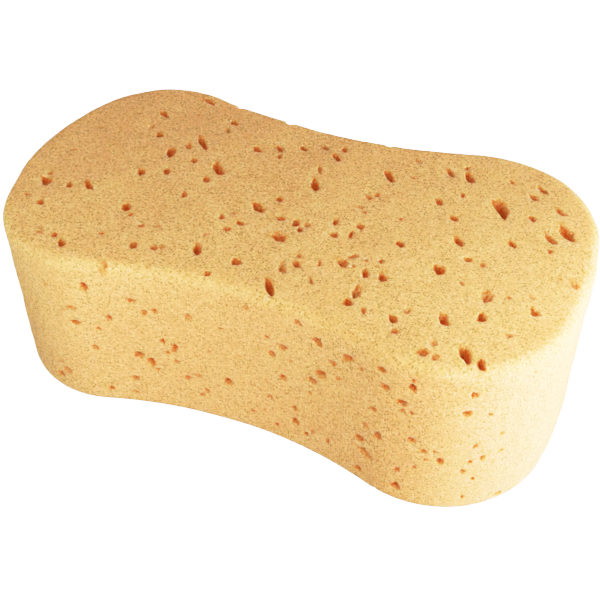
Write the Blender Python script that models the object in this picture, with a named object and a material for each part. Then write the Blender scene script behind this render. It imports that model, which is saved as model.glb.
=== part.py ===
"""A jumbo cleaning sponge, cut as one block of foam to an hourglass outline.

The block has rounded top and bottom edges, and its faces open into the foam's larger pores. Lengths are
in metres, +Z is up and the origin is the middle of the base. +X runs along the block, and -Y is its front.
"""
import math
import random

import bmesh
import bpy
from mathutils import Matrix, Vector

MM = 0.001

# Driving dimensions
LENGTH = 220 * MM
HEIGHT = 72 * MM
RIGHT_LOBE_WIDTH = 122 * MM
LEFT_LOBE_WIDTH = 120 * MM
FRONT_SCOOP = 10 * MM  # how far the waist lies in from the narrower lobe
BACK_SCOOP = 8.5 * MM
RIGHT_CORNER_RADIUS = 43 * MM
LEFT_CORNER_RADIUS = 38 * MM
RIGHT_END_RADIUS = 150 * MM
LEFT_END_RADIUS = 90 * MM
EDGE_RADIUS = 4 * MM
BASE_PATCH_RADIUS = 9 * MM  # the middle of the base has no pore

# How finely the curves are cut into flats
OUTLINE_STEP = 8 * MM
EDGE_SEGMENTS = 3
PORE_SIDES = 7
PORE_RINGS = 4

# Form of a pore
PORE_SINK = 0.12  # how far its widest ring lies under the face, as a share of its depth
PORE_UNEVENNESS = 0.13

# Pores of the top: share of the half length from the waist, share of the way from the long axis to the
# outline there (both in percent), then length, width, turn in degrees and depth in millimetres
TOP_PORES = [
    (-85, -42, 6.5, 4.5, -55, 5), (-70, -30, 7.5, 2.8, -38, 3), (-76, -36, 4, 2.6, -60, 3),
    (-80, -62, 4, 2.8, -55, 3), (-67, 62, 7, 2.6, -38, 3), (-62, 38, 4.5, 3, -50, 4),
    (-53, 23, 7, 4, -62, 6), (-49, 3, 4.5, 3.2, -60, 4), (-57, -4, 5, 3.2, -50, 4),
    (-52, -40, 5.5, 3.8, -62, 5), (-45, 42, 10.5, 3, -48, 4), (-43, 21, 4, 2.6, -55, 2.5),
    (-40, 75, 4.5, 3, -50, 2.5), (-55, 88, 6.5, 2.6, -30, 2.5), (-40, -76, 4.2, 3, -55, 3.5),
    (-62, -84, 5, 3.2, -50, 3), (-37, -17, 3.6, 2.6, -55, 3), (-33, 20, 9, 4.6, -45, 6),
    (-34, 5, 4.5, 3.2, -55, 4), (-25, 53, 5, 3, -40, 5), (-18, 61, 5.5, 2.8, -40, 4),
    (-10, 69, 4.6, 2.6, -45, 3), (-3, 76, 4.6, 2.4, -35, 3), (3, 67, 6, 2.8, -42, 4.5),
    (6, 80, 4, 2.4, -50, 3), (2, 29, 7.5, 4, -62, 6), (-6, 3, 3.4, 2.8, -60, 3),
    (-11, -11, 7, 4, -35, 5), (4, -18, 4.4, 3.2, -60, 5), (8, -27, 3.4, 2.2, -50, 3.5),
    (2, -38, 5.5, 4, -45, 4), (-20, -31, 3.6, 2.6, -50, 3), (-13, -33, 3.8, 2.6, -30, 3),
    (-20, -69, 6.5, 3.4, -58, 5.5), (-6, -72, 4.6, 4, -45, 4.5), (12, -59, 4.2, 3, -40, 2.5),
    (25, -44, 5.5, 4, -40, 3.5), (34, -46, 5, 2.8, -60, 3), (33, -76, 4.4, 3.6, -45, 5),
    (34, -63, 6.5, 3, -85, 3), (10, -90, 9, 3.2, -52, 5), (24, 57, 9, 3, -50, 4.5),
    (43, 72, 6, 2.4, -48, 3), (50, 69, 7, 3.6, -55, 5), (44, 39, 5, 2.6, -50, 3.5),
    (51, 25, 4.4, 2.6, -45, 3), (56, 5, 6, 3.2, -52, 4.5), (39, -11, 4.2, 3.2, -50, 4),
    (64, 45, 13, 4.6, -52, 6.5), (75, 76, 5.5, 2.4, -35, 3), (73, 65, 5, 2.4, -35, 3),
    (75, 44, 4.2, 2.6, -40, 3), (83, 63, 6, 2.4, -38, 3.5), (87, 45, 10, 4.6, -52, 5.5),
    (83, 31, 7.5, 2.6, -42, 3.5), (72, 15, 5, 2.6, -42, 3.5), (54, -23, 6.5, 3.8, -62, 5),
    (39, -45, 5, 3.2, -55, 4.5), (48, -73, 4.2, 3, -65, 5), (62, -61, 6, 3.6, -60, 4.5),
    (72, -54, 5, 3.4, -65, 4), (86, -46, 4.4, 2.8, -42, 3.5), (94, -11, 6.5, 3, -50, 3),
    (72, -84, 6.5, 4, -62, 5), (78, -91, 4.2, 2.8, -50, 3.5),
]

# Pores of the front: share of the way round from the waist to the end, share of the height (both in
# percent), then as above
FRONT_PORES = [
    (-37, 84, 4.4, 3.8, 90, 3.5), (-27, 78, 3.6, 2.8, 0, 2.5), (-42, 59, 4, 3, 0, 2.5),
    (-38, 42, 3, 2.8, 90, 2.5), (-27, 40, 4.4, 4, 0, 5), (-24, 36, 5, 3.6, 80, 3),
    (-29, 22, 3.6, 3.2, 0, 3), (-4, 33, 4.2, 4, 0, 4), (-35, 12, 2.8, 2.6, 0, 3),
    (15, 92, 3.6, 2.8, 0, 2.5), (20, 85, 4.2, 4, 30, 4), (28, 85, 4.8, 3.6, 20, 4),
    (24, 76, 3.6, 2.6, 10, 2.5), (11, 72, 4, 3, 0, 2.5), (8, 65, 3.6, 2.6, 0, 2.5),
    (21, 65, 5, 4, 20, 4), (20, 56, 4, 3.6, 0, 3.5), (38, 80, 3.8, 3.4, 0, 3),
    (37, 90, 3.6, 3, 0, 2.5), (44, 86, 4, 3.2, 90, 4), (42, 74, 4.2, 3.2, 0, 3.5),
    (45, 51, 3.2, 3, 0, 2.5), (38, 45, 4.2, 3.6, 90, 3.5), (32, 35, 4.2, 3.8, 40, 3),
    (34, 26, 6, 4.6, -15, 4), (14, 21, 4, 3.6, 90, 3), (33, 12, 3, 3, 0, 3),
    (43, 14, 4, 3.6, 90, 3), (56, 74, 3.6, 3, 0, 2.5), (57, 86, 3, 2.6, 90, 2.5),
    (53, 40, 3.6, 3.2, 90, 3),
]

# Nicks in the edges: share of the way round, whether in the back, whether in the top, then width along
# the edge and reach into the block and down its side
EDGE_NICKS = [
    (-31, True, True, 5, 3.6, 6),
    (-15, True, True, 5.5, 4, 7),
    (13, True, True, 4.5, 3.4, 6),
    (41, True, True, 2.4, 2, 3),
    (37, False, False, 2.2, 2.4, 3),
]

# Pores of the base and the back, at chance places: how many, the range of their length, of their width
# as a share of the length, and of their depth as a share of the width
BASE_PORE_COUNT = 34
BACK_PORE_COUNT = 26
SCATTER_LENGTH = (3.4 * MM, 7.5 * MM)
SCATTER_WIDTH = (0.5, 0.8)
SCATTER_DEPTH = (0.8, 1.2)
SCATTER_REACH = 0.92  # how much of the way to the outline they fill
SCATTER_EDGE = 0.1  # how much of the height stays clear of them at the top and at the bottom
SCATTER_GAP = 4 * MM
SCATTER_SEED = 11
UNEVENNESS_SEED = 5

FOAM_COLOUR = (0.775, 0.503, 0.168, 1)
PORE_COLOUR = (0.55, 0.13, 0.025, 1)
FOAM_ROUGHNESS = 0.9


def clear_scene():
    for obj in list(bpy.data.objects):
        bpy.data.objects.remove(obj, do_unlink=True)


def foam_material(name, colour):
    material = bpy.data.materials.new(name)
    material.use_nodes = True
    shader = material.node_tree.nodes["Principled BSDF"]
    shader.inputs["Base Color"].default_value = colour
    shader.inputs["Roughness"].default_value = FOAM_ROUGHNESS
    shader.inputs["Metallic"].default_value = 0
    return material


def arc(centre, radius, start, end):
    """Points of an arc from one angle to the other, both ends included."""
    steps = max(2, math.ceil(abs(end - start) * radius / OUTLINE_STEP))
    angles = [start + (end - start) * i / steps for i in range(steps + 1)]
    return [centre + radius * Vector((math.cos(a), math.sin(a))) for a in angles]


def quarter_outline(right, back):
    """A quarter of the outline, from the middle of the waist to the middle of the end.

    Three arcs meet in tangents: the waist, curved inwards, the lobe's corner, and the end. It is worked
    out where x and y are positive, and then turned over to its own side.
    """
    half_length = LENGTH / 2
    half_width = (RIGHT_LOBE_WIDTH if right else LEFT_LOBE_WIDTH) / 2
    corner = RIGHT_CORNER_RADIUS if right else LEFT_CORNER_RADIUS
    end = RIGHT_END_RADIUS if right else LEFT_END_RADIUS
    waist = min(RIGHT_LOBE_WIDTH, LEFT_LOBE_WIDTH) / 2 - (BACK_SCOOP if back else FRONT_SCOOP)

    end_centre = Vector((half_length - end, 0))
    corner_y = half_width - corner
    corner_centre = Vector((end_centre.x + math.sqrt((end - corner) ** 2 - corner_y**2), corner_y))
    across = waist - corner_y
    scoop = (corner_centre.x**2 + across**2 - corner**2) / (2 * (corner - across))
    scoop_centre = Vector((0, waist + scoop))

    to_scoop = scoop_centre - corner_centre
    scoop_angle = math.atan2(to_scoop.y, to_scoop.x)
    to_corner = corner_centre - end_centre
    end_angle = math.atan2(to_corner.y, to_corner.x)
    points = arc(scoop_centre, scoop, -math.pi / 2, scoop_angle - math.pi)
    points += arc(corner_centre, corner, scoop_angle, end_angle)[1:]
    points += arc(end_centre, end, end_angle, 0)[1:]
    flip = Vector((1 if right else -1, 1 if back else -1))
    return [point * flip for point in points]


def outline():
    """The whole outline, counter-clockwise from the middle of the right end."""
    points = quarter_outline(True, True)[::-1]
    points += quarter_outline(False, True)[1:]
    points += quarter_outline(False, False)[-2::-1]
    points += quarter_outline(True, False)[1:-1]
    return points


def walk(path, share):
    """The point at a share of a path's length, and the path's direction there."""
    lengths = [(b - a).length for a, b in zip(path, path[1:])]
    left = share * sum(lengths)
    for start, end, length in zip(path, path[1:], lengths):
        if left <= length:
            break
        left -= length
    direction = (end - start) / length
    return start + direction * min(left, length), direction


def half_width_at(x, back):
    """How far the outline lies from the long axis at x."""
    path = quarter_outline(x >= 0, back)
    for start, end in zip(path, path[1:]):
        if abs(end.x) >= abs(x):
            share = (abs(x) - abs(start.x)) / (abs(end.x) - abs(start.x))
            return abs(start.y + (end.y - start.y) * share)
    return 0


def frame_on_flat(along, across, top):
    """The place and axes of a pore in the top or the base."""
    x = along * LENGTH / 2
    y = across * half_width_at(x, across > 0)
    up = 1 if top else -1
    place = Vector((x, y, HEIGHT if top else 0))
    return place, (Vector((1, 0, 0)), Vector((0, up, 0)), Vector((0, 0, up)))


def frame_on_side(along, height, back):
    """The place and axes of a pore in the front or the back."""
    point, direction = walk(quarter_outline(along >= 0, back), abs(along))
    if (along >= 0) == back:
        direction = -direction
    outwards = Vector((direction.y, -direction.x, 0))
    place = Vector((point.x, point.y, height * HEIGHT))
    return place, (Vector((direction.x, direction.y, 0)), Vector((0, 0, 1)), outwards)


def add_hollow(bm, place, axes, half_sizes, turn, sink, rng):
    """Adds an uneven ball, pressed to three half sizes, that hollows out a pore at this place."""
    ball = bmesh.ops.create_uvsphere(bm, u_segments=PORE_SIDES, v_segments=PORE_RINGS, radius=1)
    basis = Matrix(axes).transposed().to_4x4()
    basis.translation = place - axes[2] * sink
    matrix = basis @ Matrix.Rotation(turn, 4, "Z") @ Matrix.Diagonal((*half_sizes, 1))
    for vert in ball["verts"]:
        vert.co = matrix @ (vert.co * rng.uniform(1 - PORE_UNEVENNESS, 1 + PORE_UNEVENNESS))


def add_pore(bm, frame, long, wide, turn, deep, rng):
    add_hollow(bm, *frame, (long / 2, wide / 2, deep), turn, PORE_SINK * deep, rng)


def add_listed_pores(bm, rng):
    for along, across, long, wide, turn, deep in TOP_PORES:
        frame = frame_on_flat(along / 100, across / 100, True)
        add_pore(bm, frame, long * MM, wide * MM, math.radians(turn), deep * MM, rng)
    for along, height, long, wide, turn, deep in FRONT_PORES:
        frame = frame_on_side(along / 100, height / 100, False)
        add_pore(bm, frame, long * MM, wide * MM, math.radians(turn), deep * MM, rng)


def add_edge_nicks(bm, rng):
    for along, back, top, wide, reach, down in EDGE_NICKS:
        frame = frame_on_side(along / 100, 1 if top else 0, back)
        add_hollow(bm, *frame, (wide / 2 * MM, down * MM, reach * MM), 0, 0, rng)


def base_frame(u, v):
    return frame_on_flat(u, SCATTER_REACH * (2 * v - 1), False)


def back_frame(u, v):
    return frame_on_side(u, SCATTER_EDGE + (1 - 2 * SCATTER_EDGE) * v, True)


def scatter(count, frame_at, rng, clear_of):
    """Pores at chance places of one face, each some way from the others."""
    pores = []
    taken = list(clear_of)
    while len(pores) < count:
        frame = frame_at(rng.uniform(-1, 1) * SCATTER_REACH, rng.random())
        long = rng.uniform(*SCATTER_LENGTH)
        wide = long * rng.uniform(*SCATTER_WIDTH)
        turn = rng.uniform(0, math.pi)
        deep = wide * rng.uniform(*SCATTER_DEPTH)
        if all((frame[0] - place).length > reach + long / 2 + SCATTER_GAP for place, reach in taken):
            taken.append((frame[0], long / 2))
            pores.append((frame, long, wide, turn, deep))
    return pores


def pore_hollows(material):
    """The body that is taken out of the block: every pore and nick."""
    rng = random.Random(UNEVENNESS_SEED)
    chance = random.Random(SCATTER_SEED)
    bm = bmesh.new()
    add_listed_pores(bm, rng)
    add_edge_nicks(bm, rng)
    pores = scatter(BASE_PORE_COUNT, base_frame, chance, [(Vector((0, 0, 0)), BASE_PATCH_RADIUS)])
    pores += scatter(BACK_PORE_COUNT, back_frame, chance, [])
    for pore in pores:
        add_pore(bm, *pore, rng)
    bmesh.ops.recalc_face_normals(bm, faces=bm.faces)
    mesh = bpy.data.meshes.new("pore_hollows")
    bm.to_mesh(mesh)
    bm.free()
    mesh.materials.append(material)
    hollows = bpy.data.objects.new("pore_hollows", mesh)
    hollows.hide_render = True
    hollows.display_type = "WIRE"
    bpy.context.scene.collection.objects.link(hollows)
    return hollows


def sponge(foam, pore_wall):
    """The block: its outline carried up to its height, its edges rounded and its pores taken out."""
    bm = bmesh.new()
    base = bm.faces.new([bm.verts.new((point.x, point.y, 0)) for point in outline()])
    risen = bmesh.ops.extrude_face_region(bm, geom=[base])["geom"]
    top = [item for item in risen if isinstance(item, bmesh.types.BMVert)]
    bmesh.ops.translate(bm, verts=top, vec=(0, 0, HEIGHT))
    bmesh.ops.recalc_face_normals(bm, faces=bm.faces)
    mesh = bpy.data.meshes.new("sponge")
    bm.to_mesh(mesh)
    bm.free()
    mesh.materials.append(foam)
    mesh.shade_smooth()
    block = bpy.data.objects.new("sponge", mesh)
    bpy.context.scene.collection.objects.link(block)

    rounding = block.modifiers.new("rounded_edges", "BEVEL")
    rounding.width = EDGE_RADIUS
    rounding.segments = EDGE_SEGMENTS
    rounding.limit_method = "ANGLE"
    rounding.angle_limit = math.radians(45)

    pores = block.modifiers.new("open_pores", "BOOLEAN")
    pores.operation = "DIFFERENCE"
    pores.solver = "EXACT"
    pores.use_self = True
    pores.material_mode = "TRANSFER"
    pores.object = pore_hollows(pore_wall)
    return block


clear_scene()
sponge(foam_material("foam", FOAM_COLOUR), foam_material("pore_wall", PORE_COLOUR))
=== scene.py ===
import math
import random

import bpy
import numpy as np
from mathutils import Matrix, Vector
from mathutils.geometry import delaunay_2d_cdt


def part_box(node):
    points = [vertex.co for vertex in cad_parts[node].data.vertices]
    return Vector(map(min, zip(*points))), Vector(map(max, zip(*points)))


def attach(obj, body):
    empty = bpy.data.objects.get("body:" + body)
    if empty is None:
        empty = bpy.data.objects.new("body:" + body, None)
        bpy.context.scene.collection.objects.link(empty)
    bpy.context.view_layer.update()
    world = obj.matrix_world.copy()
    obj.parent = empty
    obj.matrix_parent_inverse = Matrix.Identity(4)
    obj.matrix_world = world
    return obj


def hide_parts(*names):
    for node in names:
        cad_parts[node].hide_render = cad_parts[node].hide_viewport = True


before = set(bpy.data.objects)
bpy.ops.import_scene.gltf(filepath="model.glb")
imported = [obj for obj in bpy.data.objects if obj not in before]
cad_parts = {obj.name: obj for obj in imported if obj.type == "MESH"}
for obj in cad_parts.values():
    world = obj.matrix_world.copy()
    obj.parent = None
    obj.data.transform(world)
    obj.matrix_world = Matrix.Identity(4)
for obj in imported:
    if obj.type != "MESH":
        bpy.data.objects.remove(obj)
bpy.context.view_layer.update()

mm = 0.001

# The block: its length and height come from the frame, the rest of its outline is given here
block = {
    "rightLobeWidth": 122 * mm,
    "leftLobeWidth": 120 * mm,
    "frontScoop": 10 * mm,      # how much the waist is cut in at the front
    "backScoop": 8.5 * mm,      # and at the back
    "rightCornerRadius": 43 * mm,
    "leftCornerRadius": 38 * mm,
    "rightEndRadius": 150 * mm,
    "leftEndRadius": 90 * mm,
    "edgeRadius": 4 * mm,       # of the rounding along the top and bottom edges
}

# The skin of the block: how finely it is made and how uneven it is
skin = {
    "pointGap": 1.55 * mm,      # distance between the points of the plain surface
    "rimGap": 0.95 * mm,        # distance between the points along the outline
    "outlineStep": 0.4 * mm,    # longest step along an arc of the exact outline
    "fineGap": 0.5 * mm,        # distance between the points of the outline that is measured against
    "placingStep": 8 * mm,      # longest step along the coarse outline on which places are counted
    "ringInset": 0.25,          # how far inside a sheet's line pore rings stay, as a share of the rim gap
    "gridInset": 0.6,           # the same for plain points
    "bandInset": 0.5,           # the same for both on the band
    "firstRow": 0.7,            # where the rows of points on a rounding start, in mm from its edge
    "rowGap": 1.1,              # and their distance, in mm
    "joinBelow": 0.16 * mm,     # of points closer than this only one stays
    "jitter": 0.18,             # how far a plain point is off its row, as a share of the point gap
    "halfSpan": 70 * mm,        # half the width of the grid that the flat faces are cut from
    "gridSeed": 7,
    "waveCount": 24,
    "waveLength": (9 * mm, 40 * mm),
    "waviness": 0.12 * mm,      # how far the cut faces wander
    "roughness": 0.035 * mm,    # how uneven the points are
    "flatBelow": 6 * mm,        # below this height the wander fades, so that the base stays flat
    "unevenSeed": 41,
}

# Pores: how finely they are made and how they differ
poreForm = {
    "angleGap": 0.5 * mm,       # distance between the points round a rim
    "angleCount": (10, 56),     # the fewest and the most points round it
    "rings": (0.3, 0.52, 0.7, 0.83, 0.92, 0.975, 1.0, 1.07, 1.25),   # as shares of the pore's size
    "fewRings": (0.5, 0.82, 1.0, 1.15),
    "fewBelow": 1.3 * mm,       # pores with less than this half width have few rings
    "clearance": 0.9 * mm,      # plain points keep this far from a pore's rings
    "lobes": 0.12,              # how far an outline wanders from an ellipse
    "lobeFade": (1, 1, 2, 2, 2.2, 2.4),   # and how much less each finer wave of it does
    "bend": 0.45,               # how far a pore may be bent
    "bendMiddle": 0.3,          # what keeps a bent pore in its place
    "lean": (0.22, -0.3),       # where the deepest place lies on the whole, seen from the middle
    "leanWander": 0.25,         # how far it wanders from there
    "leanMost": 0.6,            # and how far out it may lie
    "wall": 0.95,               # the power that shapes the walls: 0.5 is a half ball, 1 a bowl
    "slope": 0.8,               # how much gentler the wall opposite the deepest place may be
    "slopeLeast": 0.3,          # and the least share of that
    "slopeSide": 0.4,           # how far round towards the deepest place the gentler wall reaches
    "shadeDepth": 1.5 * mm,     # depth in which the painted shade of a deep pore comes in
    "deepPore": 3.5 * mm,       # shallower pores than this take their painted shade sooner
    "tintReach": 1.38,          # how far out the painted shade starts, as a share of the pore's size
    "tintFade": 0.65,           # and how soon it is full
    "rimTint": 0.42,            # how much of the painted shade the rim has
    "halo": 0.35,               # how much of the torn skin's paler colour there is just outside
    "haloReach": 1.6,           # and how far out it goes
    "frontClear": 0.72,         # how much painted shade the pores of the front take: less, as the front faces the light
    "faint": {36: 0.75, 39: 0.6, 62: 0.4},   # pores of the top that show less, by their place in the list
    "smallSpread": 1.15,        # the small pores are made this much larger than listed
    "smallRound": 1.2,          # and those of the top this much wider again
    "seed": 23,
}

# Pores of the top: along and across in percent, then length, width, turn in degrees and depth in mm
topPores = [
    (-85, -42, 6.5, 4.5, -55, 5), (-70, -30, 7.5, 2.8, -38, 3), (-76, -36, 4, 2.6, -60, 3),
    (-80, -62, 4, 2.8, -55, 3), (-67, 62, 7, 2.6, -38, 3), (-62, 38, 4.5, 3, -50, 4),
    (-53, 23, 7, 4, -62, 6), (-49, 3, 4.5, 3.2, -60, 4), (-57, -4, 5, 3.2, -50, 4),
    (-52, -40, 5.5, 3.8, -62, 5), (-45, 42, 10.5, 3, -48, 4), (-43, 21, 4, 2.6, -55, 2.5),
    (-40, 75, 4.5, 3, -50, 2.5), (-55, 88, 6.5, 2.6, -30, 2.5), (-40, -76, 4.2, 3, -55, 3.5),
    (-62, -84, 5, 3.2, -50, 3), (-37, -17, 3.6, 2.6, -55, 3), (-33, 20, 9, 4.6, -45, 6),
    (-34, 5, 4.5, 3.2, -55, 4), (-25, 53, 5, 3, -40, 5), (-18, 61, 5.5, 2.8, -40, 4),
    (-10, 69, 4.6, 2.6, -45, 3), (-3, 76, 4.6, 2.4, -35, 3), (3, 67, 6, 2.8, -42, 4.5),
    (4.2, 78.3, 4, 2.4, -50, 3), (2, 29, 7.5, 4, -62, 6), (-6, 3, 3.4, 2.8, -60, 3),
    (-11, -11, 7, 4, -35, 5), (4, -18, 4.4, 3.2, -60, 5), (6.5, -24, 3.8, 2.4, -60, 3.5),
    (1.5, -37, 6.5, 5.2, -30, 4), (-20, -31, 3.6, 2.6, -50, 3), (-13, -33, 3.8, 2.6, -30, 3),
    (-20, -69, 6.5, 3.4, -58, 5.5), (-6, -72, 4.6, 4, -45, 4.5), (12, -59, 4.2, 3, -40, 2.5),
    (25, -44, 5.5, 4, -40, 3.5), (33.5, -46.4, 5, 2.8, -60, 3), (33, -76, 4.4, 3.6, -45, 5),
    (34, -64.5, 8, 3.4, -85, 3), (8.5, -87, 10, 3.1, -54, 5), (24, 57, 9, 3, -50, 4.5),
    (43, 72, 6, 2.4, -48, 3), (50, 69, 7, 3.6, -55, 5), (44, 39, 5, 2.6, -50, 3.5),
    (51, 25, 4.4, 2.6, -45, 3), (56, 5, 6, 3.2, -52, 4.5), (39, -11, 4.2, 3.2, -50, 4),
    (64, 45, 13, 4.6, -52, 6.5), (75, 76, 5.5, 2.4, -35, 3), (73, 65, 5, 2.4, -35, 3),
    (75, 44, 4.2, 2.6, -40, 3), (83, 63, 6, 2.4, -38, 3.5), (87, 45, 10, 4.6, -52, 5.5),
    (83, 31, 7.5, 2.6, -42, 3.5), (72, 15, 5, 2.6, -42, 3.5), (54, -23, 6.5, 3.8, -62, 5),
    (39, -45, 5, 3.2, -55, 4.5), (48, -73, 4.2, 3, -65, 5), (62, -61, 6, 3.6, -60, 4.5),
    (72, -54, 5, 3.4, -65, 4), (86, -46, 4.4, 2.8, -42, 3.5), (94, -11, 6.5, 3, -50, 3),
    (71.5, -84, 8.4, 4, -52, 5), (76.9, -92.5, 5.5, 3, -65, 3.5),
]

# Pores of the front: along and height in percent, then as above
frontPores = [
    (-37.8, 84.5, 4.4, 3.8, 90, 3.5), (-27, 78, 3.6, 2.8, 0, 2.5), (-42, 59, 4, 3, 0, 2.5),
    (-38, 42, 3, 2.8, 90, 2.5), (-27, 40, 4.4, 4, 0, 5), (-24, 36, 5, 3.6, 80, 3),
    (-29, 22, 3.6, 3.2, 0, 3), (-4, 33, 4.2, 4, 0, 4), (-35.8, 11.5, 2.8, 2.6, 0, 3),
    (15, 92, 3.6, 2.8, 0, 2.5), (20, 85, 4.2, 4, 30, 4), (28, 85, 4.8, 3.6, 20, 4),
    (24, 76, 3.6, 2.6, 10, 2.5), (11, 72, 4, 3, 0, 2.5), (8, 65, 3.6, 2.6, 0, 2.5),
    (21, 65, 5, 4, 20, 4), (18.7, 57.3, 4, 3.6, 0, 3.5), (38, 80, 3.8, 3.4, 0, 3),
    (37, 90, 3.6, 3, 0, 2.5), (44, 86, 4, 3.2, 90, 4), (42, 74, 4.2, 3.2, 0, 3.5),
    (45, 51, 3.2, 3, 0, 2.5), (37, 44.4, 4.2, 3.6, 90, 3.5), (32, 35, 4.2, 3.8, 40, 3),
    (34, 26, 6, 4.6, -15, 4), (14, 21, 4, 3.6, 90, 3), (32.2, 11.5, 3, 3, 0, 3),
    (42.4, 13.6, 4, 3.6, 90, 3), (56, 74, 3.6, 3, 0, 2.5), (57, 86, 3, 2.6, 90, 2.5),
    (51.7, 39.2, 3.6, 3.2, 90, 3),
]

# Small pores of the top: x, y, length and width in mm, turn in degrees, then how clearly they show
smallTopPores = [
    (-74, 26.5, 3, 2, -30, .5), (-53.5, 19.5, 4, 2, -55, .7), (-53.5, -27, 2.2, 1.6, 0, .9),
    (-46.5, -31.5, 2, 1.5, 0, .9), (-41, -29.5, 2.5, 1.5, 0, .5), (-44, 35.5, 3.5, 1.8, -50, .8),
    (-57.5, -40.5, 2, 1.5, 0, .8), (-73, -47.5, 3, 2, -45, .9), (-78.5, -48, 3, 1.8, -10, .5),
    (-48.5, -55, 3, 2.5, 0, .8), (-95, 1, 3, 1.5, 0, .5), (-89, -30, 2, 1.2, 0, .5),
    (-95, -31, 3, 1.2, 0, .5), (-83.5, 33, 2.5, 1.2, 0, .5), (-93, 18.5, 2.5, 1.2, 0, .5),
    (-60.5, 42, 2, 1, 0, .5), (-94.5, -16.5, 2, 1.5, 0, .8), (-17.5, 27, 3.5, 1.2, -65, .8),
    (-6, 40, 1.5, 1, 0, .8), (.5, 24.5, 6, 1.5, -60, .5), (-2, -8.5, 3.5, 2, -15, .9),
    (8.5, -8.5, 2.5, 2, 0, .5), (-19, -12.5, 1.5, 1, 0, .8), (-17, -21.5, 3, 2, 60, .9),
    (-23, -27.5, 1.5, 1.5, 0, .5), (-13, -46, 2.5, 2, 0, .8), (-34, -39, 2.5, 1.8, 0, .5),
    (-36.5, -40.5, 3, 2, -50, .9), (-33.5, -50.5, 2, 1, 0, .5), (9.5, -33, 6, 2.2, -65, .6),
    (12.5, -25.5, 1.5, 1.5, 0, .8), (20.5, -26.5, 3, 1, -65, .8), (21, -36, 3, 1.2, -50, .8),
    (17.5, -3, 3.5, 1.8, -75, .9), (25, -7.5, 4.5, 1.3, -80, .9), (26.5, -2, 3.5, 2, -35, .9),
    (19.5, -10, 3, 2.2, -20, 1), (52.5, 46.5, 2, 1.6, 0, .9),
    (34, 44, 3, 1.5, -30, .5), (35, 33, 2, 1.2, 0, .8), (26, 18, 2, 2, 0, .8),
    (23.5, 15.5, 3, 1.8, -20, .9), (23, 8.5, 2, 1.2, 0, .8), (25, 6, 2, 1, 0, .8),
    (55.5, 29.5, 3, 1.2, -60, .9), (70.5, 44.5, 3, 1.5, -40, .8), (92.5, 9.5, 1.8, 1.8, 0, .8),
    (67.2, -5, 3, 2.2, 0, .7), (72.6, -5.6, 2, 1.8, 0, .8), (40, -17.5, 2.5, 1.5, -45, .8),
    (55, -48, 3, 1.8, 0, .8), (42.5, -43, 3, 1.3, -60, .8), (78, -20.7, 5, 4, -60, .5),
    (92, -16.1, 2.6, 1.6, 0, .5), (68, -48.5, 2.5, 2.5, 0, .4), (70.4, -54.2, 3, 2.2, 0, .5),
    (66, -53.6, 4, 3, 0, .7), (38.5, 7.5, 2, 1.3, 0, .5), (69, -18, 2, 1.5, 0, .5),
    (99, -3.5, 2, 1, 0, .5), (85, -19, 1.6, 1.4, 0, .7), (55.8, -37.6, 3, 2.4, 0, .4),
    (54.5, -47.2, 2.2, 1.6, 0, .6), (89, -36, 3, 2.4, 0, .3), (32, -23.6, 1.6, 1.2, 0, .5),
    (35, -19, 1.6, 1.2, 0, .5), (30, -18.6, 4.4, 2, 35, .6),
]

# Small pores of the front: distance round from the waist, height, length and width in mm, then how clearly
# they show
smallFrontPores = [
    (-36, 51.5, 2, 2.5, .8), (-32, 53, 2, 2.5, .8), (-19.5, 53, 2.5, 3.5, .4),
    (-63.5, 50, 4, 2, .5), (-66.5, 48.5, 2, 2, .4), (-72.5, 58, 2, 2, .4),
    (-50, 46.5, 2.5, 2.5, .8), (-54.5, 40.5, 1.5, 1.5, .8), (-30.5, 38.5, 2, 2.5, .9),
    (-26, 36, 2.5, 3.5, .9), (-29, 33, 2, 1.5, .8), (-26, 28.5, 2, 1.5, .8),
    (-17.5, 33.5, 2, 1.5, .5), (-18, 23, 2, 1.5, .8), (-22.5, 20.5, 3, 2, .8),
    (-34, 22.5, 1.5, 1.5, .8), (-44.5, 7.5, 2.5, 1.5, .8), (-17, 13, 1.5, 1.5, .8),
    (-15, 16, 1.5, 1.5, .8), (-7.5, 51, 1.5, 1.5, .8), (-73.5, 18, 2, 1.5, .8),
    (-71.5, 13.5, 3, 4, .6), (-75.5, 9.5, 3, 3, .8), (-13, 37, 1, 1.5, .5),
    (3, 65, 2.5, 2, .5), (48.5, 60, 1.5, 1.5, .8), (10.5, 54, 2, 1.5, .8),
    (20, 46.5, 1.5, 1, .8), (39, 49, 2, 2, .5), (16.5, 36.5, 2.5, 2.5, .8),
    (27.5, 34.5, 2, 2, .5), (67, 65.5, 1.5, 1.5, .8), (67.5, 50, 1.5, 1.5, .8),
    (64.5, 50, 1.5, 1.5, .8), (53.5, 44, 3, 2.5, .5), (51, 34, 2.5, 2.5, .5),
    (64.5, 19, 2, 2.5, .5), (21, 22, 2, 3, .5), (11, 23.5, 2, 1.5, .8),
    (13.5, 9, 1.5, 1.5, .8), (26, 11, 2, 2, .8), (35.5, 13.5, 1.5, 2, .8),
    (28.5, 14, 1.5, 1.5, .8), (3.5, 12, 1.5, 1.5, .8), (8.5, 15, 1, 1, .8),
    (73, 32.5, 2, 2, .8), (73.5, 28, 1.5, 1.5, .8), (70.5, 23, 1.5, 1.5, .8),
    (93, 51.5, 2.5, 1.5, .7), (76.5, 33, 1.5, 1.5, .8), (90, 36, 2, 2, .6),
    (93.5, 28.5, 2.5, 3, .6), (89, 27.5, 1.5, 2, .8), (87, 23, 2, 2, .8),
    (91, 18.5, 1.5, 1.5, .8), (102.5, 5, 3, 2, .8), (88.5, 8.5, 1.5, 1.5, .8),
    (99, 40, 2, 2, .4), (108, 65, 2, 2, .4), (100, 30.5, 2, 2, .4),
]

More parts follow.
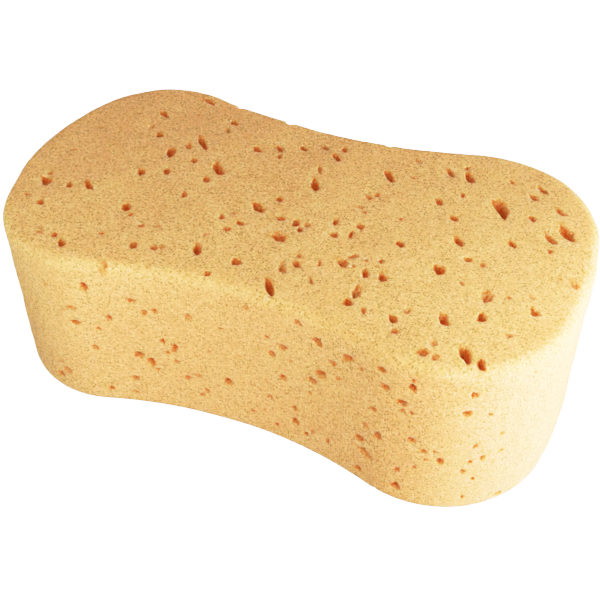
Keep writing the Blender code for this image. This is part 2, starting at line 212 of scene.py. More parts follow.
# Nicks in the edges: along in percent, whether in the back, whether in the top, then width, reach in and
# reach down in mm
edgeNicks = [
    (-31, True, True, 5, 3.6, 6), (-15, True, True, 5.5, 4, 7), (13, True, True, 4.5, 3.4, 6),
    (41, True, True, 2.4, 2, 3), (37, False, False, 2.2, 2.4, 3),
]

nickForm = {
    "gap": 0.5,            # distance between the points of a nick, in mm
    "first": 0.4,          # and how far from the flat face they start
    "tint": 0.6,           # how much of the pores' painted shade a nick has
    "tintDepth": 2 * mm,   # at this depth and below
}

# Pores of the base and the back, at chance places: larger ones, then small ones between them
scattered = {
    "baseCount": 34,
    "backCount": 26,
    "length": (3.4 * mm, 7.5 * mm),
    "width": (0.5, 0.8),      # as a share of the length, for the small ones too
    "depth": (0.8, 1.2),      # as a share of the width
    "gap": 4 * mm,            # from the rim of one to the next
    "reach": 0.92,            # how far out towards the ends and sides they lie
    "edge": 0.1,              # how far from the back's upper and lower edges, as a share of the height
    "basePatch": 9 * mm,      # radius of the patch in the middle of the base without any
    "seed": 11,
}
hiddenSmall = {
    "baseCount": 60,
    "backCount": 55,
    "length": (1.2 * mm, 3 * mm),
    "depth": (0.5, 0.9),
    "gap": 1.2 * mm,
    "seed": 31,
}

lowCorner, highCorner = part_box("sponge")
halfLength = (highCorner.x - lowCorner.x) / 2
height = highCorner.z - lowCorner.z


def arcPoints(centre, radius, start, end, step):
    # points of an arc: the centre plus the radius times cosine and sine of evenly spaced angles
    count = max(2, math.ceil(abs(end - start) * radius / step)) + 1
    angles = np.linspace(start, end, count)
    return np.asarray(centre) + radius * np.stack([np.cos(angles), np.sin(angles)], axis=1)


def quarterOutline(right, back, step):
    # from the middle of the waist to the middle of the end: the waist's arc, the corner's and the end's,
    # each tangent to the next, worked out where x and y are positive and then turned over
    halfWidth = block["rightLobeWidth" if right else "leftLobeWidth"] / 2
    corner = block["rightCornerRadius" if right else "leftCornerRadius"]
    end = block["rightEndRadius" if right else "leftEndRadius"]
    waist = min(block["rightLobeWidth"], block["leftLobeWidth"]) / 2
    waist -= block["backScoop" if back else "frontScoop"]
    endX = halfLength - end
    cornerY = halfWidth - corner
    cornerX = endX + math.sqrt((end - corner) ** 2 - cornerY ** 2)
    across = waist - cornerY
    scoop = (cornerX ** 2 + across ** 2 - corner ** 2) / (2 * (corner - across))
    scoopAngle = math.atan2(waist + scoop - cornerY, -cornerX)
    endAngle = math.atan2(cornerY, cornerX - endX)
    points = np.concatenate([
        arcPoints((0, waist + scoop), scoop, -math.pi / 2, scoopAngle - math.pi, step),
        arcPoints((cornerX, cornerY), corner, scoopAngle, endAngle, step)[1:],
        arcPoints((endX, 0), end, endAngle, 0, step)[1:],
    ])
    return points * (1 if right else -1, 1 if back else -1)


def wholeOutline(step):
    # counter-clockwise from the middle of the right end
    return np.concatenate([
        quarterOutline(True, True, step)[::-1],
        quarterOutline(False, True, step)[1:],
        quarterOutline(False, False, step)[-2::-1],
        quarterOutline(True, False, step)[1:-1],
    ])


def evenLoop(points, gap):
    # the same closed line with its points at even distances, and how far round each one is
    closed = np.vstack([points, points[:1]])
    far = np.concatenate([[0], np.cumsum(np.linalg.norm(np.diff(closed, axis=0), axis=1))])
    count = int(round(far[-1] / gap))
    wanted = np.arange(count) * far[-1] / count
    return np.stack([np.interp(wanted, far, closed[:, i]) for i in (0, 1)], axis=1), wanted, far[-1]


def outwardNormals(loop):
    along = np.roll(loop, -1, axis=0) - np.roll(loop, 1, axis=0)
    along /= np.linalg.norm(along, axis=1)[:, None]
    return np.stack([along[:, 1], -along[:, 0]], axis=1)


# The skin: the top and base inside their rounded edges, and the band of the side with both roundings
exactOutline = wholeOutline(skin["outlineStep"])
rim, rimFar, rimLength = evenLoop(exactOutline, skin["rimGap"])
rimNormals = outwardNormals(rim)
fineRim, fineFar, fineLength = evenLoop(exactOutline, skin["fineGap"])
fineNormals = outwardNormals(fineRim)
edge = block["edgeRadius"]
quarterTurn = edge * math.pi / 2
sideHeight = height - 2 * edge
bandHeight = sideHeight + 2 * quarterTurn


def outlineAt(around, values):
    # what belongs to the fine outline's points, read at any distances round it
    period = np.append(fineFar, fineLength)
    return [np.interp(around % fineLength, period, np.append(values[:, i], values[0, i])) for i in (0, 1)]


def bandPlace(around, down):
    # a point of the band: around the outline, and down from the top's inner edge over the rounding, the
    # side and the lower rounding
    base = outlineAt(around, fineRim)
    facing = outlineAt(around, fineNormals)
    upper = np.clip(math.pi / 2 - down / edge, 0, math.pi / 2)
    lower = np.clip((down - quarterTurn - sideHeight) / edge, 0, math.pi / 2)
    inward = edge * (2 - np.cos(upper) - np.cos(lower))
    z = height - edge + edge * np.sin(upper)
    z = z - np.clip(down - quarterTurn, 0, sideHeight) - edge * np.sin(lower)
    return np.stack([base[0] - facing[0] * inward, base[1] - facing[1] * inward, z], axis=1)


def rimDistance(points):
    # for flat points: how far inside the outline, and how far round the nearest place of it is
    inside = np.empty(len(points))
    around = np.empty(len(points))
    batch = 2000   # points worked out at a time
    for start in range(0, len(points), batch):
        part = points[start:start + batch]
        away = part[:, None, :] - fineRim[None, :, :]
        nearest = np.argmin((away ** 2).sum(axis=2), axis=1)
        chosen = np.take_along_axis(away, nearest[:, None, None], axis=1)[:, 0]
        inside[start:start + batch] = -(chosen * fineNormals[nearest]).sum(axis=1)
        along = np.stack([-fineNormals[nearest][:, 1], fineNormals[nearest][:, 0]], axis=1)
        around[start:start + batch] = fineFar[nearest] + (chosen * along).sum(axis=1)
    return inside, around


# Where each pore sits
def walk(path, share):
    # the point at a share of a path's length, and the path's direction there
    steps = np.diff(path, axis=0)
    lengths = np.linalg.norm(steps, axis=1)
    ends = np.cumsum(lengths)
    wanted = share * ends[-1]
    i = min(int(np.searchsorted(ends, wanted)), len(lengths) - 1)
    direction = steps[i] / lengths[i]
    return path[i] + direction * (wanted - ends[i] + lengths[i]), direction


def frameOnFlat(along, across, top):
    x = along * halfLength
    path = quarterOutline(x >= 0, across > 0, skin["placingStep"])
    y = across * abs(float(np.interp(abs(x), np.abs(path[:, 0]), path[:, 1])))
    return flatFrame(x, y, top)


def flatFrame(x, y, top):
    up = 1 if top else -1
    return np.array([x, y, height if top else 0]), np.array([[1, 0, 0], [0, up, 0], [0, 0, up]], float)


def frameOnSide(along, share, back):
    point, direction = walk(quarterOutline(along >= 0, back, skin["placingStep"]), abs(along))
    return sideFrame(point, direction if (along >= 0) != back else -direction, share * height)


def sideFrame(point, direction, z):
    outward = (direction[1], -direction[0], 0)
    return np.array([*point, z]), np.array([(*direction, 0), (0, 0, 1), outward], float)


def scatterPores(count, frameAt, chance, clearOf, kind):
    # pores of one kind at chance places of one face, each some way from the others and from given ones
    pores = []
    taken = list(clearOf)
    while len(pores) < count:
        spot = frameAt(chance.uniform(-1, 1) * scattered["reach"], chance.random())
        long = chance.uniform(*kind["length"])
        wide = long * chance.uniform(*scattered["width"])
        turn = chance.uniform(0, math.pi)
        deep = wide * chance.uniform(*kind["depth"])
        if all(np.linalg.norm(spot[0] - place) > reach + long / 2 + kind["gap"] for place, reach in taken):
            taken.append((spot[0], long / 2))
            pores.append((*spot, long / 2, wide / 2, turn, deep, 1.0))
    return pores, taken


def baseFrame(u, v):
    return frameOnFlat(u, scattered["reach"] * (2 * v - 1), False)


def backFrame(u, v):
    return frameOnSide(u, scattered["edge"] + (1 - 2 * scattered["edge"]) * v, True)


def gatherPores():
    # every pore as its place, axes, half length, half width, turn, depth and how clearly it shows
    pores = []
    for index, (along, across, long, wide, turn, deep) in enumerate(topPores):
        spot = frameOnFlat(along / 100, across / 100, True)
        clear = poreForm["faint"].get(index, 1.0)
        pores.append((*spot, long / 2 * mm, wide / 2 * mm, math.radians(turn), deep * clear * mm, clear))
    for along, share, long, wide, turn, deep in frontPores:
        spot = frameOnSide(along / 100, share / 100, False)
        clear = poreForm["frontClear"]
        pores.append((*spot, long / 2 * mm, wide / 2 * mm, math.radians(turn), deep * mm, clear))
    half = poreForm["smallSpread"] / 2 * mm
    for x, y, long, wide, turn, clear in smallTopPores:
        spot = flatFrame(x * mm, y * mm, True)
        halfWide = wide * half * poreForm["smallRound"]
        pores.append((*spot, long * half, halfWide, math.radians(turn), wide * clear * mm, clear))
    for around, z, long, wide, clear in smallFrontPores:
        path = quarterOutline(around >= 0, False, skin["fineGap"])
        share = abs(around) * mm / np.linalg.norm(np.diff(path, axis=0), axis=1).sum()
        point, direction = walk(path, share)
        spot = sideFrame(point, direction if around >= 0 else -direction, z * mm)
        pores.append((*spot, long * half, wide * half, 0.0, wide * clear * mm, clear))
    chance = random.Random(scattered["seed"])
    patch = [(np.zeros(3), scattered["basePatch"])]
    base, baseTaken = scatterPores(scattered["baseCount"], baseFrame, chance, patch, scattered)
    back, backTaken = scatterPores(scattered["backCount"], backFrame, chance, [], scattered)
    chance = random.Random(hiddenSmall["seed"])
    smallBase = scatterPores(hiddenSmall["baseCount"], baseFrame, chance, baseTaken, hiddenSmall)[0]
    smallBack = scatterPores(hiddenSmall["backCount"], backFrame, chance, backTaken, hiddenSmall)[0]
    return pores + base + back + smallBase + smallBack


pores = gatherPores()
shapeChance = np.random.default_rng(poreForm["seed"])
lobeFade = np.array(poreForm["lobeFade"])
lobeTurns = shapeChance.uniform(0, 2 * math.pi, (len(pores), len(lobeFade)))
lobeSizes = shapeChance.uniform(-1, 1, (len(pores), len(lobeFade))) * poreForm["lobes"] / lobeFade
bends = shapeChance.uniform(-poreForm["bend"], poreForm["bend"], len(pores))
leans = shapeChance.normal(0, poreForm["leanWander"], (len(pores), 2))
slopes = shapeChance.uniform(poreForm["slopeLeast"], 1, len(pores)) * poreForm["slope"]
for index, (place, axes, halfLong, halfWide, turn, deep, clear) in enumerate(pores):
    # the common lean is given in the frame of the block, and turns with the pore
    x, y = np.array([*poreForm["lean"], 0]) @ axes[:2].T
    leans[index] += (x * math.cos(turn) + y * math.sin(turn), y * math.cos(turn) - x * math.sin(turn))
    leans[index] *= min(1, poreForm["leanMost"] / np.linalg.norm(leans[index]))
print("stage:", len(pores), "pores placed")


def wander(index, angle):
    # an uneven outline: one plus six waves, the first two to a round and the last seven
    counts = np.arange(len(lobeFade)) + 2
    return 1 + (lobeSizes[index] * np.cos(np.multiply.outer(angle, counts) + lobeTurns[index])).sum(axis=-1)


def bendOff(index, a):
    # how far a bent pore's middle line lies off its long axis: a parabola
    halfLong, halfWide = pores[index][2:4]
    return bends[index] * (a ** 2 - poreForm["bendMiddle"]) * halfLong / (halfLong + halfWide)


def ringShares(halfWide):
    return np.array(poreForm["fewRings" if halfWide < poreForm["fewBelow"] else "rings"])


def porePoints(index):
    # rings of points round a pore, in its own plane, from its middle to just outside its rim
    place, axes, halfLong, halfWide, turn, deep, clear = pores[index]
    rings = ringShares(halfWide)
    around = math.pi * (1.5 * (halfLong + halfWide) - math.sqrt(halfLong * halfWide))   # of an ellipse
    count = int(np.clip(round(around / poreForm["angleGap"]), *poreForm["angleCount"]))
    angle = np.arange(count) * 2 * math.pi / count
    angle = angle[None, :] + (np.arange(len(rings)) % 2)[:, None] * math.pi / count
    spread = rings[:, None] * wander(index, angle)
    a = np.append(spread * np.cos(angle), 0)
    b = np.append(spread * np.sin(angle), 0)
    b = b + bendOff(index, a)
    u = a * halfLong * math.cos(turn) - b * halfWide * math.sin(turn)
    v = a * halfLong * math.sin(turn) + b * halfWide * math.cos(turn)
    return place + u[:, None] * axes[0] + v[:, None] * axes[1]


def poreSpots(index, points):
    # where points lie in a pore's own round form, whose rim is a circle with radius one, and how far
    # above its plane
    place, axes, halfLong, halfWide, turn, deep, clear = pores[index]
    away = points - place
    u = away @ axes[0]
    v = away @ axes[1]
    a = (u * math.cos(turn) + v * math.sin(turn)) / halfLong
    b = (v * math.cos(turn) - u * math.sin(turn)) / halfWide
    b = b - bendOff(index, a)
    size = wander(index, np.arctan2(b, a))
    return np.stack([a / size, b / size], axis=1), away @ axes[2]


def leanShare(index, spots):
    # like the share, but of circles that shrink towards the deepest place: the share t for which the
    # spot lies on the circle with radius t round (1 - t) times that place
    lean = leans[index]
    away = spots - lean
    along = away @ lean
    rest = 1 - lean @ lean
    return (along + np.sqrt(along ** 2 + rest * (away ** 2).sum(axis=1))) / rest


def sinkPores(points):
    # every point inside a pore goes down to the pore's floor: the depth times a power of one less the
    # squared share, a higher one on the gentler side. The shade is above 0 where the pore has its painted
    # shade, darker and redder with depth, and below 0 just outside
    moved = points.copy()
    sunk = np.zeros(len(points))
    shade = np.zeros(len(points))
    for index, (place, axes, halfLong, halfWide, turn, deep, clear) in enumerate(pores):
        reach = 1.5 * halfLong + 1 * mm   # beyond this the pore changes nothing
        near = np.flatnonzero(((points - place) ** 2).sum(axis=1) < reach ** 2)
        spots, above = poreSpots(index, points[near])
        share = np.linalg.norm(spots, axis=1)
        lean = leans[index]
        facing = (spots @ lean) / (share * np.linalg.norm(lean) + 1e-9)
        power = poreForm["wall"] + slopes[index] * np.clip(poreForm["slopeSide"] - facing, 0, 1)
        floor = -deep * np.clip(1 - leanShare(index, spots) ** 2, 0, None) ** power
        drop = np.where(share < 1, np.clip(above - floor, 0, None), 0)
        deeper = drop > sunk[near]
        chosen = near[deeper]
        moved[chosen] = points[chosen] - drop[deeper][:, None] * axes[2]
        sunk[chosen] = drop[deeper]
        # painted shade: the colour comes in with depth, standing for the shade and the scattered light in a
        # pore
        fade = poreForm["shadeDepth"] * min(1, deep / poreForm["deepPore"])
        tint = poreForm["rimTint"] + (1 - poreForm["rimTint"]) * (1 - np.exp(-drop / fade))
        tint *= np.clip((poreForm["tintReach"] - share) / poreForm["tintFade"], 0, 1) * clear
        shade[near] = np.where(tint > 0, np.maximum(shade[near], tint), shade[near])
        rimmed = (share >= poreForm["tintReach"]) & (share < poreForm["haloReach"]) & (shade[near] <= 0)
        shade[near[rimmed]] = -clear * poreForm["halo"]
    return moved, shade


def sinkNicks(points, moved, shade):
    # a nick is a ball centred on an edge: its points slide in and down until they lie on the ball
    for along, back, top, wide, reach, down in edgeNicks:
        place, axes = frameOnSide(along / 100, 1 if top else 0, back)
        size = np.array([wide / 2, down, reach]) * mm
        local = (points - place) @ axes.T / size
        slide = np.array([0, -1 if top else 1, -1]) * mm / size
        a = (slide ** 2).sum()
        b = (local * slide).sum(axis=1)
        c = (local ** 2).sum(axis=1) - 1
        inside = c < 0
        far = (-b[inside] + np.sqrt(b[inside] ** 2 - a * c[inside])) / a
        goal = (local[inside] + far[:, None] * slide) * size @ axes + place
        moved[inside] = goal
        # a nick takes the pores' painted shade, more with depth
        depth = np.linalg.norm(goal - points[inside], axis=1)
        shade[inside] = nickForm["tint"] * np.clip(depth / nickForm["tintDepth"], 0, 1)


# Points of the skin
def hexGrid(low, high):
    # rows of points at even distances, every other row shifted, each point moved a little
    gap = skin["pointGap"]
    rows = np.arange(low[1], high[1], gap * math.sqrt(3) / 2)
    columns = np.arange(low[0], high[0], gap)
    x, y = np.meshgrid(columns, rows)
    x = x + (np.arange(len(rows)) % 2)[:, None] * gap / 2
    points = np.stack([x.ravel(), y.ravel()], axis=1)
    return points + gridChance.uniform(-skin["jitter"], skin["jitter"], points.shape) * gap


def thin(points):
    # of points in one cell of a very fine grid only one stays
    cells = np.round(points / skin["joinBelow"]).astype(np.int64)
    return points[np.sort(np.unique(cells, axis=0, return_index=True)[1])]


def clearOfPores(points3):
    # plain points that lie outside every pore's rings
    free = np.ones(len(points3), bool)
    for index, (place, axes, halfLong, halfWide, turn, deep, clear) in enumerate(pores):
        reach = 1.6 * halfLong + 3 * mm   # beyond this a point is clear of the pore
        near = np.flatnonzero(((points3 - place) ** 2).sum(axis=1) < reach ** 2)
        share = np.linalg.norm(poreSpots(index, points3[near])[0], axis=1)
        outer = ringShares(halfWide)[-1] + poreForm["clearance"] / (halfLong + halfWide)
        free[near] &= share > outer
    return free


gridChance = np.random.default_rng(skin["gridSeed"])
innerRim = rim - rimNormals * edge


def poreSkinPoints():
    # the rings of all pores, sorted by the sheet that they lie on
    top, base, band = [], [], []
    least = 0.02 * edge   # points nearer than this to a border of the band are left out
    for index, pore in enumerate(pores):
        ring = porePoints(index)
        flat = abs(pore[1][2][2]) > 0.5
        inside, around = rimDistance(ring[:, :2])
        if flat:
            onSheet = inside > edge
            (top if pore[1][2][2] > 0 else base).append(ring[onSheet, :2])
            over = (inside > least) & ~onSheet
            down = edge * np.arcsin(np.clip(1 - inside[over] / edge, 0, 1))
            down = down if pore[1][2][2] > 0 else bandHeight - down
            band.append(np.stack([around[over], down], axis=1))
        else:
            z = ring[:, 2]
            upper = edge * np.arcsin(np.clip((z - (height - edge)) / edge, 0, 1))
            lower = edge * np.arcsin(np.clip((edge - z) / edge, 0, 1))
            down = quarterTurn + (height - edge - np.clip(z, edge, height - edge)) - upper + lower
            keep = (z > least) & (z < height - least)
            band.append(np.stack([around, down], axis=1)[keep])
    return np.concatenate(top), np.concatenate(base), np.concatenate(band)


def nickPoints():
    # fine points where the edge has a nick, on the band
    band = []
    for along, back, top, wide, reach, down in edgeNicks:
        place = frameOnSide(along / 100, 1 if top else 0, back)[0]
        around = rimDistance(place[None, :2])[1][0]
        columns = np.arange(-wide, wide, nickForm["gap"]) * mm
        rows = np.arange(nickForm["first"], down + quarterTurn / mm, nickForm["gap"]) * mm
        u, v = np.meshgrid(columns, rows)
        v = v if top else bandHeight - v
        band.append(np.stack([around + u.ravel(), v.ravel()], axis=1))
    return np.concatenate(band)


def sheetPoints():
    # the plain points of the top or the base inside its inner edge
    corner = (halfLength, skin["halfSpan"])
    grid = hexGrid((-corner[0], -corner[1]), corner)
    inside = rimDistance(grid)[0]
    return grid[inside > edge + skin["gridInset"] * skin["rimGap"]]


def triangulate(points, lineCount):
    # Delaunay triangles of flat points inside one closed line, as rows of three point numbers
    made = delaunay_2d_cdt([Vector(p) for p in points.tolist()], [], [list(range(lineCount))], 1, 1e-9, True)
    names = np.array([origin[0] for origin in made[3]])
    return names[np.array(made[2])]


def insideLine(points, faces, lineCount):
    # without the triangles that fill a hollow of the line from outside: their three corners all lie on
    # the line, and taken in its order they turn the other way
    ordered = np.sort(faces, axis=1)
    first, second, third = (points[ordered[:, i]] for i in range(3))
    one = second - first
    other = third - first
    turned = one[:, 0] * other[:, 1] - one[:, 1] * other[:, 0]
    return faces[(ordered[:, 2] >= lineCount) | (turned > 0)]


def makeSheet(rings, z, facingUp):
    inside = rimDistance(rings)[0]
    rings = rings[inside > edge + skin["ringInset"] * skin["rimGap"]]
    grid = sheetPoints()
    grid = grid[clearOfPores(np.column_stack([grid, np.full(len(grid), z)]))]
    inner = thin(np.concatenate([rings, grid]))
    flat = np.concatenate([innerRim, inner])
    faces = insideLine(flat, triangulate(flat, len(innerRim)), len(innerRim))
    return np.column_stack([flat, np.full(len(flat), z)]), faces if facingUp else faces[:, ::-1]


def makeBand(rings):
    grid = hexGrid((0, 0), (rimLength, bandHeight))
    inset = skin["bandInset"] * skin["rimGap"]
    grid = grid[(grid[:, 0] > inset) & (grid[:, 0] < rimLength - inset)]
    # rows of points that keep the roundings round
    rounding = np.arange(skin["firstRow"], quarterTurn / mm, skin["rowGap"]) * mm
    rows = np.concatenate([rounding, bandHeight - rounding])
    extra = np.stack(np.meshgrid(rimFar[1:], rows), axis=-1).reshape(-1, 2)
    extra[:, 0] += np.repeat(np.arange(len(rows)) % 2, len(rimFar) - 1) * skin["rimGap"] / 2
    flat = (grid[:, 1] > quarterTurn) & (grid[:, 1] < bandHeight - quarterTurn)
    grid = np.concatenate([grid[flat], extra[extra[:, 0] < rimLength - inset]])
    grid = grid[clearOfPores(bandPlace(grid[:, 0], grid[:, 1]))]
    rings = np.concatenate([rings, nickPoints()])
    rings[:, 0] %= rimLength
    keep = (rings[:, 1] > inset / 2) & (rings[:, 1] < bandHeight - inset / 2)
    keep &= (rings[:, 0] > inset) & (rings[:, 0] < rimLength - inset)
    inner = thin(np.concatenate([rings[keep], grid]))
    count = len(rim)
    seamRows = np.linspace(0, bandHeight, int(round(bandHeight / skin["rimGap"])) + 1)[1:-1]
    lower = np.column_stack([np.append(rimFar, rimLength), np.full(count + 1, bandHeight)])
    right = np.column_stack([np.full(len(seamRows), rimLength), seamRows[::-1]])
    upper = np.column_stack([np.append(rimFar, rimLength)[::-1], np.zeros(count + 1)])
    left = np.column_stack([np.zeros(len(seamRows)), seamRows])
    border = np.concatenate([lower, right, upper, left])
    flat = np.concatenate([border, inner])
    faces = triangulate(flat, len(border))
    return bandPlace(flat[:, 0], flat[:, 1]), faces[:, ::-1], border


def weld(top, base, band):
    # joins the sheets to the band along their outlines, and the band to itself at its seam, by giving
    # the band's border points the numbers of the points that they meet
    count = len(rim)
    seam = (len(band[2]) - 2 * (count + 1)) // 2
    numbers = np.arange(len(band[0])) + len(top[0]) + len(base[0])
    numbers[:count + 1] = len(top[0]) + np.arange(count + 1) % count
    numbers[count + 1 + seam:2 * (count + 1) + seam] = (count - np.arange(count + 1)) % count
    right = numbers[count + 1:count + 1 + seam]
    numbers[2 * (count + 1) + seam:2 * (count + 1) + 2 * seam] = right[::-1]
    points = np.concatenate([top[0], base[0], band[0]])
    faces = np.concatenate([top[1], base[1] + len(top[0]), numbers[band[1]]])
    used, faces = np.unique(faces, return_inverse=True)
    return points[used], faces.reshape(-1, 3)


def waves(points, chance, count, shortest, longest):
    # an uneven field, mostly between minus one and one: a sum of sine waves in chance directions
    total = np.zeros(len(points))
    for i in range(count):
        direction = chance.normal(size=3)
        direction /= np.linalg.norm(direction)
        length = chance.uniform(shortest, longest)
        total += np.sin(points @ direction * 2 * math.pi / length + chance.uniform(0, 2 * math.pi))
    return total / math.sqrt(count / 2)


def skinNormals(points):
    # the smooth block's outward direction at points of its skin
    inside, around = rimDistance(points[:, :2])
    facing = outlineAt(around, fineNormals)
    side = np.clip((edge - inside) / edge, 0, 1)
    up = np.sqrt(1 - side ** 2) * np.where(points[:, 2] > height / 2, 1, -1)
    return np.stack([facing[0] * side, facing[1] * side, up], axis=1)


topRings, baseRings, bandRings = poreSkinPoints()
skinPoints, skinFaces = weld(
    makeSheet(topRings, height, True),
    makeSheet(baseRings, 0, False),
    makeBand(bandRings),
)
print("stage: skin has", len(skinPoints), "points and", len(skinFaces), "triangles")

normals = skinNormals(skinPoints)
surfacePoints, shade = sinkPores(skinPoints)
sinkNicks(skinPoints, surfacePoints, shade)
print("stage: pores and nicks sunk")

# The faces move in by as much as they wander, and the underside stays flat
unevenChance = np.random.default_rng(skin["unevenSeed"])
wavy = waves(skinPoints, unevenChance, skin["waveCount"], *skin["waveLength"]) * skin["waviness"]
wavy += unevenChance.uniform(-1, 1, len(skinPoints)) * skin["roughness"]
free = np.clip(skinPoints[:, 2] / skin["flatBelow"], 0, 1)
surfacePoints += normals * (wavy * free - skin["waviness"])[:, None] * (skinPoints[:, 2] > 0)[:, None]


def meshObject(name, points, faces):
    mesh = bpy.data.meshes.new(name)
    mesh.from_pydata(points.tolist(), [], faces.tolist())
    mesh.validate()
    mesh.shade_smooth()
    made = bpy.data.objects.new(name, mesh)
    bpy.context.scene.collection.objects.link(made)
    return made


sponge = meshObject("foam_block", surfacePoints, skinFaces)
layer = sponge.data.attributes.new("poreShade", "FLOAT", "POINT")
layer.data.foreach_set("value", shade.astype(np.float32))
print("stage: foam block made")


# Materials
class Socket:
    # wraps a node's output so that sums and products of values make their own Math nodes
    def __init__(self, tree, socket):
        self.tree = tree
        self.socket = socket

    def math(self, operation, *others):
        return self.tree.node("ShaderNodeMath", {"operation": operation}, (self, *others))

    def __add__(self, other):
        return self.math("ADD", other)

    def __sub__(self, other):
        return self.math("SUBTRACT", other)

    def __rsub__(self, other):
        return self.tree.node("ShaderNodeMath", {"operation": "SUBTRACT"}, (other, self))

    def __mul__(self, other):
        return self.math("MULTIPLY", other)

    __radd__ = __add__
    __rmul__ = __mul__


class Tree:
    # a material's nodes
    def __init__(self, material):
        material.use_nodes = True
        self.nodes = material.node_tree.nodes
        self.links = material.node_tree.links
        self.shader = self.nodes["Principled BSDF"]

    def node(self, kind, settings, inputs, output=0):
        # makes a node, sets its settings, then its sockets by name or by order
        made = self.nodes.new(kind)
        for name, value in settings.items():
            setattr(made, name, value)
        pairs = inputs.items() if isinstance(inputs, dict) else enumerate(inputs)
        for key, value in pairs:
            self.feed(made.inputs[key], value)
        return Socket(self, made.outputs[output])

    def feed(self, target, value):
        if isinstance(value, Socket):
            self.links.new(value.socket, target)
        else:
            target.default_value = value

    def set(self, values):
        # sets the sockets of the material's shader, or links them
        for name, value in values.items():
            self.feed(self.shader.inputs[name], value)

    def mix(self, share, first, second, blend="MIX"):
        # colours mixed by a share; sockets 6 and 7 are the two colours of the Mix node
        return self.node("ShaderNodeMix", {"data_type": "RGBA", "blend_type": blend},
                         {0: share, 6: first, 7: second}, 2)

    def cells(self, vector, size):
        # round cells of one size: how far from a cell's middle, and a chance number for each cell
        made = self.node("ShaderNodeTexVoronoi", {"feature": "F1"}, {"Vector": vector, "Scale": 1 / size})
        outputs = made.socket.node.outputs
        tone = self.node("ShaderNodeSeparateColor", {}, (Socket(self, outputs["Color"]),), "Red")
        return Socket(self, outputs["Distance"]), tone

    def smooth(self, value, low, high):
        # 0 below low, 1 above high, and a soft step between
        return self.node("ShaderNodeMapRange", {"interpolation_type": "SMOOTHSTEP"}, (value, low, high, 0, 1))


foam = {
    "tan": (0.66, 0.46, 0.15, 1),
    "orange": (0.65, 0.42, 0.125, 1),
    "dark": (0.43, 0.61, 0.45, 1),       # what the painted shade of the darkest cells multiplies the colour by
    "pale": (2.4, 1.62, 2.0, 1),         # and the painted highlight of the palest
    "rim": (0.75, 0.58, 0.24, 1),        # the torn skin round a pore
    "rimFade": (0.0, 0.5),
    "rimShare": 0.5,
    # the pores' painted shade, orange at the edge and dark red within, and their painted glow
    "poreEdge": (0.52, 0.26, 0.06, 1),
    "pore": (0.42, 0.1, 0.012, 1),
    "paintedPoreGlow": (0.15, 0.03, 0.002, 1),  # painted glow: emitted light standing for the light that comes through the foam into a pore
    "edgeShade": (0.06, 0.62),           # between these shades the pore's edge colour comes in
    "poreShade": (0.5, 1.1),             # between these its inner colour
    "glowShade": (0.2, 1.0),             # and between these its painted glow
    "raggedGrain": 0.8,    # how uneven the pore's coloured edge is from cell to cell
    "raggedBays": 1.1,     # and in larger bays
    "blotch": 1.6,         # size of the bays in mm
    "clouds": 0.11,        # number of soft orange clouds for each mm
    "cloudFade": (0.35, 0.7),
    "cloudShare": 0.3,     # how orange they are
    "grain": 0.5,          # size of the finest unevenness, in mm
    "paleCell": 1.0,       # distance between cells with a painted highlight, where one catches the light, in mm
    "darkCell": 0.95,      # distance between cells with painted shade, where one is deep
    "darkShift": (31.7, 12.3, 57.1),     # puts the dark cells in places of their own
    "dotReach": 0.5,       # how far from its middle a cell's dot ends
    "dotFade": 0.35,       # and over what distance it fades
    "paleFrom": 0.4,       # cells with a lower chance number aren't pale
    "darkFrom": 0.3,       # or dark
    "paleness": 1.1,
    "darkness": 1.05,
    "unevenness": 0.6,
    "plain": 0.48,         # where foam without a dot lies between dark and pale
    "speck": 2.4,          # distance between places for specks in mm
    "speckShare": 0.3,     # how many of those places have one
    "speckSize": 0.9,
    "speckGrain": 0.2,     # how uneven a speck's edge is
    "speckFade": (-0.05, 0.12),
    "speckTint": 0.7,
    "roughness": 0.85,
    "shine": 0.2,
    "relief": 0.11,        # depth of the cells in mm
    "reliefStrength": 0.8,
    "paleRelief": 0.8,     # how far pale dots stand up, as a share of how deep dark ones are
    "grainRelief": 0.4,    # the same for the finest unevenness
    "glow": 0.7,           # how much of the light goes through the foam
    "glowReach": 12,       # and how far, in mm
    "glowColours": (1, 0.6, 0.3),        # red goes furthest
}


